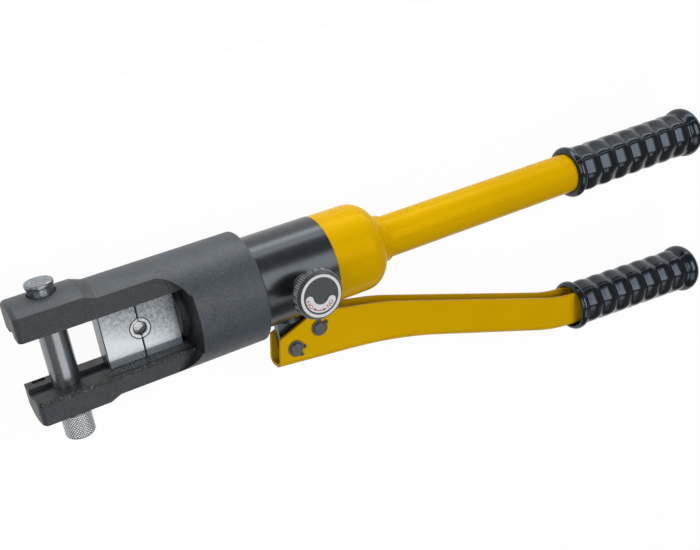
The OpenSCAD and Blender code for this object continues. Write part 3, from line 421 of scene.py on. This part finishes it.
MATS = {
    "dark_coat": forged_coat(),
    "black_body": black_body(),
    "yellow_paint": yellow_paint(),
    "bright_steel": bright_steel(),
    "die_steel": die_steel(),
    "dark_steel": dark_steel(),
    "grip_rubber": grip_rubber(),
    "brass": plain("brass_parts", srgb(196, 168, 104), 0.28, 1.0),
    "seal": plain("seal_rubber", srgb(30, 33, 33), 0.45),
    "nylon": plain("nylon_parts", srgb(214, 212, 204), 0.4),
    "label_plate": plain("label_print", srgb(56, 61, 65), 0.42, 0.2),
}
SPECIAL = {"release_knob": knob_steel(), "ram": ram_steel(), "retaining_pin": pin_steel()}
KNURLED = knurled_steel()
LIGHT_PRINT = plain("light_print", srgb(196, 198, 200), 0.34, 0.25)
RED_PRINT = plain("red_print", srgb(150, 44, 44), 0.5)


# Shading of the CAD nodes: welded, a hair of rounding on sharp edges, smooth elsewhere

SMOOTH_BELOW_DEG = 32
ROUND_ABOVE_DEG = 40


def smooth_by_angle_group():
    tree = bpy.data.node_groups.new("smooth_by_angle", "GeometryNodeTree")
    for way in ("INPUT", "OUTPUT"):
        tree.interface.new_socket("Geometry", in_out=way, socket_type="NodeSocketGeometry")
    start = tree.nodes.new("NodeGroupInput")
    end = tree.nodes.new("NodeGroupOutput")
    angle = tree.nodes.new("GeometryNodeInputMeshEdgeAngle")
    test = tree.nodes.new("FunctionNodeCompare")
    test.operation = "LESS_EQUAL"
    test.inputs[1].default_value = math.radians(SMOOTH_BELOW_DEG)
    faces = tree.nodes.new("GeometryNodeSetShadeSmooth")
    faces.domain = "FACE"
    edges = tree.nodes.new("GeometryNodeSetShadeSmooth")
    edges.domain = "EDGE"
    tree.links.new(start.outputs[0], faces.inputs[0])
    tree.links.new(faces.outputs[0], edges.inputs[0])
    tree.links.new(angle.outputs["Unsigned Angle"], test.inputs[0])
    tree.links.new(test.outputs[0], edges.inputs["Shade Smooth"])
    tree.links.new(edges.outputs[0], end.inputs[0])
    return tree


SMOOTH = smooth_by_angle_group()


def finish_node(obj, rounding_mm):
    mesh = obj.data
    if "custom_normal" in mesh.attributes:
        mesh.attributes.remove(mesh.attributes["custom_normal"])
    weld = obj.modifiers.new("weld", "WELD")
    weld.merge_threshold = 0.002 * MM
    if rounding_mm:
        bevel = obj.modifiers.new("edges", "BEVEL")
        bevel.width = rounding_mm * MM
        bevel.segments = 2
        bevel.limit_method = "ANGLE"
        bevel.angle_limit = math.radians(ROUND_ABOVE_DEG)
        bevel.use_clamp_overlap = True
    smooth = obj.modifiers.new("smooth", "NODES")
    smooth.node_group = SMOOTH
    flats = obj.modifiers.new("flats", "WEIGHTED_NORMAL")
    flats.mode = "FACE_AREA"
    flats.keep_sharp = True


ROUNDED = {
    "head_forging": 0.5, "retaining_pin": 0.12, "front_die": 0.12, "rear_die": 0.12, "ram": 0.2,
    "pump_body": 0.3, "fulcrum_lug": 0.4, "plunger": 0.3, "plunger_gland": 0.3,
    "spindle_gland": 0.3, "tube_collar": 0.2, "lever_channel": 0.18, "fulcrum_pin_clip": 0.1,
    "plunger_pin_clip": 0.1, "knob_label": 0.1, "lug_washers": 0.1,
}

for node_name, node in NODES.items():
    node.data.materials.clear()
    node.data.materials.append(SPECIAL.get(node_name, MATS[SLOT_OF[node_name]]))
    finish_node(node, ROUNDED.get(node_name, 0.0))


# Mesh helpers

def add_object(name, data):
    obj = bpy.data.objects.new(name, data)
    bpy.context.scene.collection.objects.link(obj)
    return obj


def new_piece(name, verts, faces, material, body, smooth=True):
    mesh = bpy.data.meshes.new(name)
    mesh.from_pydata([tuple(v) for v in verts], [], faces)
    mesh.validate()
    mesh.materials.append(material)
    for poly in mesh.polygons:
        poly.use_smooth = smooth
    obj = add_object(name, mesh)
    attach(obj, body)
    return obj


def ring_skin(rings, closed_ends=True):
    """Faces over a list of rings with the same number of points, with one face on each end."""
    count = len(rings[0])
    verts = [p for ring in rings for p in ring]
    faces = []
    for i in range(len(rings) - 1):
        for j in range(count):
            k = (j + 1) % count
            faces.append((i * count + j, i * count + k, (i + 1) * count + k, (i + 1) * count + j))
    if closed_ends:
        last = (len(rings) - 1) * count
        faces.append(tuple(reversed(range(count))))
        faces.append(tuple(range(last, last + count)))
    return verts, faces


# Grips

GRIP_LEN = GRIP_HIGH.x - GRIP_LOW.x
GRIP_R = 16.4
GRIP_FLANGE_R = 17.8
GRIP_RINGS = 7
GRIP_START = 7.4
GRIP_STEP = 14.0
GRIP_VALLEY = 1.6
GRIP_FLAT = 0.62
GRIP_NECK = (6.6, 15.4)
GRIP_BORE_R = 13.5
GRIP_END_WALL = 4.0
MOUTH_DEPTH = 8.0
MOUTH_CHAMFER = (0.6, 0.15, 0.4)
LEVER_MOUTH_R = 14.9
LIP_ROUND = 3.3
END_ROUND = 6.3
AXIS_R = 0.02
SEAM_DEPTH = 0.16
SEAM_HALF_DEG = 0.4
FACETS = 8
FACET_OFFSETS = (-22.5, -21.9, -20.8, -18.5, -14, -7, 0, 7, 14, 18.5, 20.8, 21.9)


def grip_profile(mouth_r):
    """Stations of a grip along its own axis: (x, radius, share of the facets)."""
    bore_end = GRIP_LEN - GRIP_END_WALL
    points = [(bore_end, AXIS_R, 0), (bore_end, GRIP_BORE_R, 0), (MOUTH_DEPTH, GRIP_BORE_R, 0)]
    if mouth_r > GRIP_BORE_R:
        points.append((MOUTH_DEPTH, mouth_r, 0))
    inner_x, outer_x, rise = MOUTH_CHAMFER
    points += [(inner_x, mouth_r, 0), (outer_x, mouth_r + rise, 0)]
    for i in range(9):
        a = math.radians(-90 + 150 * i / 8)
        r = GRIP_FLANGE_R - LIP_ROUND + LIP_ROUND * math.cos(a)
        if r > mouth_r + 0.5:
            points.append((LIP_ROUND + LIP_ROUND * math.sin(a), r, 0))
    points.append((*GRIP_NECK, 0.3))
    for k in range(GRIP_RINGS):
        for i in range(10):
            t = i / 10
            edge = abs(2 * t - 1)
            points.append((GRIP_START + (k + t) * GRIP_STEP, GRIP_R - GRIP_VALLEY * edge ** 2, 1))
    points.append((GRIP_START + GRIP_RINGS * GRIP_STEP - 0.2, GRIP_R - GRIP_VALLEY, 0.8))
    centre_r, centre_x = GRIP_FLANGE_R - END_ROUND, GRIP_LEN - END_ROUND
    for i in range(15):
        a = math.radians(-48 + 138 * i / 14)
        points.append((centre_x + END_ROUND * math.sin(a), centre_r + END_ROUND * math.cos(a), 0))
    points.append((GRIP_LEN, AXIS_R, 0))
    return points


def soft_min(a, b, k=0.07):
    return -k * np.log(np.exp(-a / k) + np.exp(-b / k))


def build_grip(name, origin, tilt_deg, facet_deg, mouth_r, seam_deg, body):
    """A grip from its mouth at origin, with a mould seam on both sides where seam_deg is given."""
    offset_deg = [o for f in range(FACETS) for o in FACET_OFFSETS]
    facet_of = [f for f in range(FACETS) for o in FACET_OFFSETS]
    angles = np.radians([facet_deg + 360 / FACETS * f + o for f, o in zip(facet_of, offset_deg)])
    rings = []
    for x, r, share in grip_profile(mouth_r):
        radius = np.full(len(angles), r)
        if share:
            flat = (r - GRIP_FLAT) / np.cos(np.radians(offset_deg))
            radius = radius * (1 - share) + soft_min(radius, flat) * share
        if seam_deg is not None and 0.1 < x and r > mouth_r + 0.5:
            for side in (0, 180):
                turn = (np.degrees(angles) - seam_deg - side + 180) % 360 - 180
                radius = radius - SEAM_DEPTH * (np.abs(turn) < SEAM_HALF_DEG)
        rings.append(np.stack([np.full(len(angles), x), radius * np.cos(angles),
                               radius * np.sin(angles)], 1))
    turned = Matrix.Rotation(math.radians(tilt_deg), 4, "Z")
    place = Matrix.Translation(Vector(origin)) @ turned
    verts, faces = ring_skin([[place @ Vector(p) * MM for p in ring] for ring in rings])
    return new_piece(name, verts, faces, MATS["grip_rubber"], body)


LEVER_GRIP_FROM_FULCRUM = (218.7, -52.7)
LEVER_GRIP_AT = (*(f + g for f, g in zip(FULCRUM, LEVER_GRIP_FROM_FULCRUM)), 0)
LEVER_GRIP_TILT = -3.68
FIXED_FACET_DEG, LEVER_FACET_DEG = 71, 57.5
FIXED_SEAM_DEG = 48.5

fixed_grip = build_grip("fixed_grip_skin", (GRIP_LOW.x, 0, 0), 0, FIXED_FACET_DEG, GRIP_BORE_R,
                        FIXED_SEAM_DEG, "tool_body")
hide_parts("fixed_grip")
lever_grip = build_grip("lever_grip_skin", LEVER_GRIP_AT, LEVER_GRIP_TILT, LEVER_FACET_DEG,
                        LEVER_MOUTH_R, None, "pump_lever")
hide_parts("lever_grip")


# The return spring: a smooth-shaded copy of the CAD coil, fixed to the tool body

spring = add_object("return_spring_coil", NODES["return_spring"].data.copy())
finish_node(spring, 0)
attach(spring, "tool_body")
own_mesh(spring)
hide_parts("return_spring")


# Knurls

KNURL_DEPTH = 0.46
KNURL_AROUND = 32
DISC_KNURL_R = 8.02
DISC_KNURL_DEPTH = 0.16
DISC_KNURL_AROUND = 40
KNURL_TAPER, DISC_KNURL_TAPER = 0.6, 0.2
POINTS_PER_DIAMOND = 6
KNURL_SINK = 1.2


def diamond_band(name, radius, depth, y0, y1, around, material, taper):
    """A sleeve with diamond knurling on the retaining pin, closed at both ends inside it."""
    count = around * POINTS_PER_DIAMOND
    pitch = 2 * math.pi * radius / around
    rows = max(int(abs(y1 - y0) / pitch * POINTS_PER_DIAMOND), 4)
    theta = np.arange(count) * 2 * math.pi / count
    rings = []
    for i in range(-1, rows + 2):
        y = y0 + (y1 - y0) * min(max(i / rows, 0), 1)
        u = theta * around / (2 * math.pi)
        v = (y - y0) / pitch
        a = np.abs((u + v) % 1.0 - 0.5) * 2
        b = np.abs((u - v) % 1.0 - 0.5) * 2
        r = radius - depth * np.maximum(a, b) ** 2.0
        fade = min(abs(y - y0), abs(y1 - y)) / taper
        if fade < 1:
            r = np.minimum(r, radius - (1 - fade) * depth * 1.6)
        if i in (-1, rows + 1):
            r = np.full(count, radius - KNURL_SINK)
        rings.append(np.stack([PIN_X + r * np.sin(theta), np.full(count, y),
                               r * np.cos(theta)], 1))
    verts, faces = ring_skin([[Vector(p) * MM for p in ring] for ring in rings])
    return new_piece(name, verts, faces, material, "retaining_pin")


diamond_band("pin_knurl", KNURL_R, KNURL_DEPTH, PIN_LOW.y + 0.7, HEAD_LOW.y - 0.65, KNURL_AROUND,
             KNURLED, KNURL_TAPER)
diamond_band("pin_disc_knurl", DISC_KNURL_R, DISC_KNURL_DEPTH, PIN_HIGH.y - 2.05,
             PIN_HIGH.y - 0.5, DISC_KNURL_AROUND, MATS["bright_steel"], DISC_KNURL_TAPER)


# Print on the release knob

PRINT_SINK = 0.2
LIGHT_THICK = 0.05
RED_THICK = 0.03
RING_THICK = 0.06
PLATE_RING = (11.1, 12.8)
BAND_R, BAND_HALF = 7.55, 2.45
BAND_DEG = (-177, -34)
ARROW_R, ARROW_HALF = 8.55, 0.27
ARROW_DEG = (-141, -74)
ARROW_HEAD = (2.5, 0.8)
LETTER_SIZE = 3.3
LETTERS = (("O", -150.5, 8.4), ("F", -164.5, 8.4), ("F", -176.5, 8.4),
           ("O", -45.3, 7.7), ("N", -63.5, 7.9))


def polar(radius, deg, centre=(0.0, 0.0)):
    a = math.radians(deg)
    return centre[0] + radius * math.cos(a), centre[1] + radius * math.sin(a)


def arc(radius, start_deg, end_deg, steps, centre=(0.0, 0.0)):
    return [polar(radius, start_deg + (end_deg - start_deg) * i / steps, centre)
            for i in range(steps + 1)]


def knob_print(name, verts, faces, material):
    return new_piece(name, verts, faces, material, "release_knob", False)


def flat_outline(name, outline, z, thick, material):
    """A thin flat piece on the knob from an outline around its centre."""
    count = len(outline)
    verts = [Vector((KNOB_AT[0] + px, KNOB_AT[1] + py, z + h)) * MM
             for h in (-PRINT_SINK, thick) for px, py in outline]
    faces = [tuple(reversed(range(count))), tuple(range(count, 2 * count))]
    faces += [(i, (i + 1) % count, count + (i + 1) % count, count + i) for i in range(count)]
    return knob_print(name, verts, faces, material)


def flat_ring(name, r_in, r_out, z, thick, material):
    count = 96
    rings = [[Vector((*polar(r, 360 * i / count, KNOB_AT), z + h)) * MM for i in range(count)]
             for r, h in ((r_in, -PRINT_SINK), (r_in, thick), (r_out, thick), (r_out, -PRINT_SINK))]
    verts, faces = ring_skin(rings + [rings[0]], closed_ends=False)
    total = len(rings) * count
    faces = [tuple(i % total for i in reversed(face)) for face in faces]
    return knob_print(name, verts[:total], faces, material)


def band_outline(mid_r, half, start_deg, end_deg):
    """A curved band with round ends."""
    def round_end(at_deg, from_deg):
        return arc(half, from_deg, from_deg + 180, 12, polar(mid_r, at_deg))[1:-1]

    return (arc(mid_r + half, start_deg, end_deg, 40) + round_end(end_deg, end_deg)
            + arc(mid_r - half, end_deg, start_deg, 40) + round_end(start_deg, start_deg + 180))


def arrow_outline(radius, half, start_deg, end_deg, head_len, head_half):
    """A curved arrow with a head at each end."""
    turn = math.degrees(head_len / radius)
    first, last = start_deg + turn, end_deg - turn
    return ([polar(radius, start_deg), polar(radius + head_half, first)]
            + arc(radius + half, first, last, 16)
            + [polar(radius + head_half, last), polar(radius, end_deg),
               polar(radius - head_half, last)]
            + arc(radius - half, last, first, 16) + [polar(radius - head_half, first)])


def letter(name, text, size, x, y, z, turn_deg, material, body, slot, thick):
    """Raised text as a mesh, centred on its place."""
    curve = bpy.data.curves.new(name, "FONT")
    curve.body = text
    curve.size = size * MM
    curve.extrude = thick * MM / 2
    curve.offset = 0.01 * size * MM
    curve.align_x = "CENTER"
    curve.align_y = "CENTER"
    curve.resolution_u = 3
    obj = add_object(name, curve)
    obj.location = Vector((x, y, z + thick / 2)) * MM
    obj.rotation_euler = (0, 0, math.radians(turn_deg))
    bpy.context.view_layer.update()
    mesh = bpy.data.meshes.new_from_object(obj)
    mesh.transform(obj.matrix_world)
    bpy.data.objects.remove(obj)
    mesh.materials.clear()
    mesh.materials.append(material)
    made = add_object(name, mesh)
    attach(made, body)
    return made


flat_ring("knob_ring", *PLATE_RING, PLATE_Z, RING_THICK, LIGHT_PRINT)
flat_outline("knob_band", band_outline(BAND_R, BAND_HALF, *BAND_DEG), PLATE_Z, LIGHT_THICK,
             LIGHT_PRINT)
RED_Z = PLATE_Z + LIGHT_THICK
flat_outline("knob_arrow", arrow_outline(ARROW_R, ARROW_HALF, *ARROW_DEG, *ARROW_HEAD), RED_Z,
             RED_THICK, RED_PRINT)
for index, (glyph, deg, radius) in enumerate(LETTERS):
    letter(f"knob_letter_{index}", glyph, LETTER_SIZE, *polar(radius, deg, KNOB_AT), RED_Z,
           deg - 90, RED_PRINT, "release_knob", "label_plate", RED_THICK)


# Size number on the front die

NUMBER_AT = (-16.2, 11.4)
NUMBER_SIZE = 3.0
NUMBER_THICK = 0.04
letter("front_die_number", "16", NUMBER_SIZE, *NUMBER_AT, DIE_HIGH.z, 0, MATS["bright_steel"],
       "front_die", "die_steel", NUMBER_THICK)


# Floor, light and camera, in metres

FLOOR_Z = CAD_BOX[0][2] - 0.0005
FLOOR_HALF = 8.0
RIM_HEIGHT = 0.6
FLOOR_GREY = 0.7
FLOOR_WHITE_SHARE = 0.96
WORLD_STRENGTH = 0.22


def shown(tree):
    """Camera, glossy and transmission rays, which see the plain background."""
    path = tree.nodes.new("ShaderNodeLightPath")
    seen = path.outputs["Is Camera Ray"]
    for kind in ("Is Glossy Ray", "Is Transmission Ray"):
        either = tree.nodes.new("ShaderNodeMath")
        either.operation = "MAXIMUM"
        tree.links.new(seen, either.inputs[0])
        tree.links.new(path.outputs[kind], either.inputs[1])
        seen = either.outputs[0]
    return seen


def floor_material():
    mat = bpy.data.materials.new("pale_floor")
    mat.use_nodes = True
    tree = mat.node_tree
    tree.nodes.clear()
    out = tree.nodes.new("ShaderNodeOutputMaterial")
    diffuse = tree.nodes.new("ShaderNodeBsdfDiffuse")
    diffuse.inputs["Color"].default_value = (FLOOR_GREY, FLOOR_GREY, FLOOR_GREY, 1)
    glow = tree.nodes.new("ShaderNodeEmission")
    glow.inputs["Color"].default_value = (1, 1, 1, 1)
    glow.inputs["Strength"].default_value = 1.0
    share = tree.nodes.new("ShaderNodeMath")
    share.operation = "MULTIPLY"
    share.inputs[1].default_value = FLOOR_WHITE_SHARE
    mix = tree.nodes.new("ShaderNodeMixShader")
    tree.links.new(shown(tree), share.inputs[0])
    tree.links.new(share.outputs[0], mix.inputs[0])
    tree.links.new(diffuse.outputs[0], mix.inputs[1])
    tree.links.new(glow.outputs[0], mix.inputs[2])
    tree.links.new(mix.outputs[0], out.inputs[0])
    return mat


# The floor's far rim turns up a little, so that low views show no horizon
corners = [(a * FLOOR_HALF, b * FLOOR_HALF) for a, b in ((-1, -1), (1, -1), (1, 1), (-1, 1))]
floor_mesh = bpy.data.meshes.new("floor")
floor_mesh.from_pydata(
    [(a, b, h) for h in (FLOOR_Z, FLOOR_Z + RIM_HEIGHT) for a, b in corners], [],
    [(0, 1, 2, 3)] + [(i, (i + 1) % 4, 4 + (i + 1) % 4, 4 + i) for i in range(4)])
floor_mesh.materials.append(floor_material())
floor = add_object("floor", floor_mesh)

world = bpy.data.worlds.new("studio")
bpy.context.scene.world = world
world.use_nodes = True
background = world.node_tree.nodes["Background"]
background.inputs["Color"].default_value = (1, 1, 1, 1)
background.inputs["Strength"].default_value = WORLD_STRENGTH


def area_lamp(name, location, target, width, height, glow):
    """A soft panel, as bright as glow times white."""
    data = bpy.data.lights.new(name, "AREA")
    data.shape = "RECTANGLE"
    data.size = width
    data.size_y = height
    data.energy = glow * math.pi * width * height
    obj = add_object(name, data)
    obj.location = location
    obj.rotation_mode = "QUATERNION"
    aim = (Vector(location) - Vector(target)).normalized()
    side = Vector((1, 0, 0)) - aim * aim.x
    side.normalize()
    obj.rotation_quaternion = Matrix((side, aim.cross(side), aim)).transposed().to_quaternion()
    obj.visible_camera = False
    return obj


area_lamp("side_strip", (0.4, 1.2, 0.09), (0.2, 0, 0.09), 2.2, 0.22, 3.4)
area_lamp("low_strip", (0.13, 0.13, -0.016), (0.13, 0, -0.016), 0.40, 0.03, 4.8)
area_lamp("top_panel", (0.8, 0.54, 1.9), (0.15, 0, 0), 1.4, 1.35, 3.6)
area_lamp("lower_panel", (0.15, -0.80, 1.3), (0.15, 0, 0), 1.4, 0.8, 1.7)
area_lamp("key_panel", (-1.05, 0.35, 1.05), (0.1, 0, 0), 1.0, 0.9, 3.2)

CAMERA_AT = (-0.1274, 0.2333, 0.5343)
CAMERA_AXES = ((0.8568, -0.1460, 0.4946), (0.3117, 0.9107, -0.2711), (-0.4108, 0.3865, 0.8258))
CAMERA_LENS = 53.04
camera_data = bpy.data.cameras.new("camera")
camera_data.sensor_width = 36.0
camera_data.lens = CAMERA_LENS
camera_data.clip_start = 0.01
camera = add_object("camera", camera_data)
aimed = Matrix(CAMERA_AXES).transposed().to_4x4()
camera.matrix_world = Matrix.Translation(CAMERA_AT) @ aimed
bpy.context.scene.camera = camera

bpy.context.scene.view_settings.view_transform = "Standard"
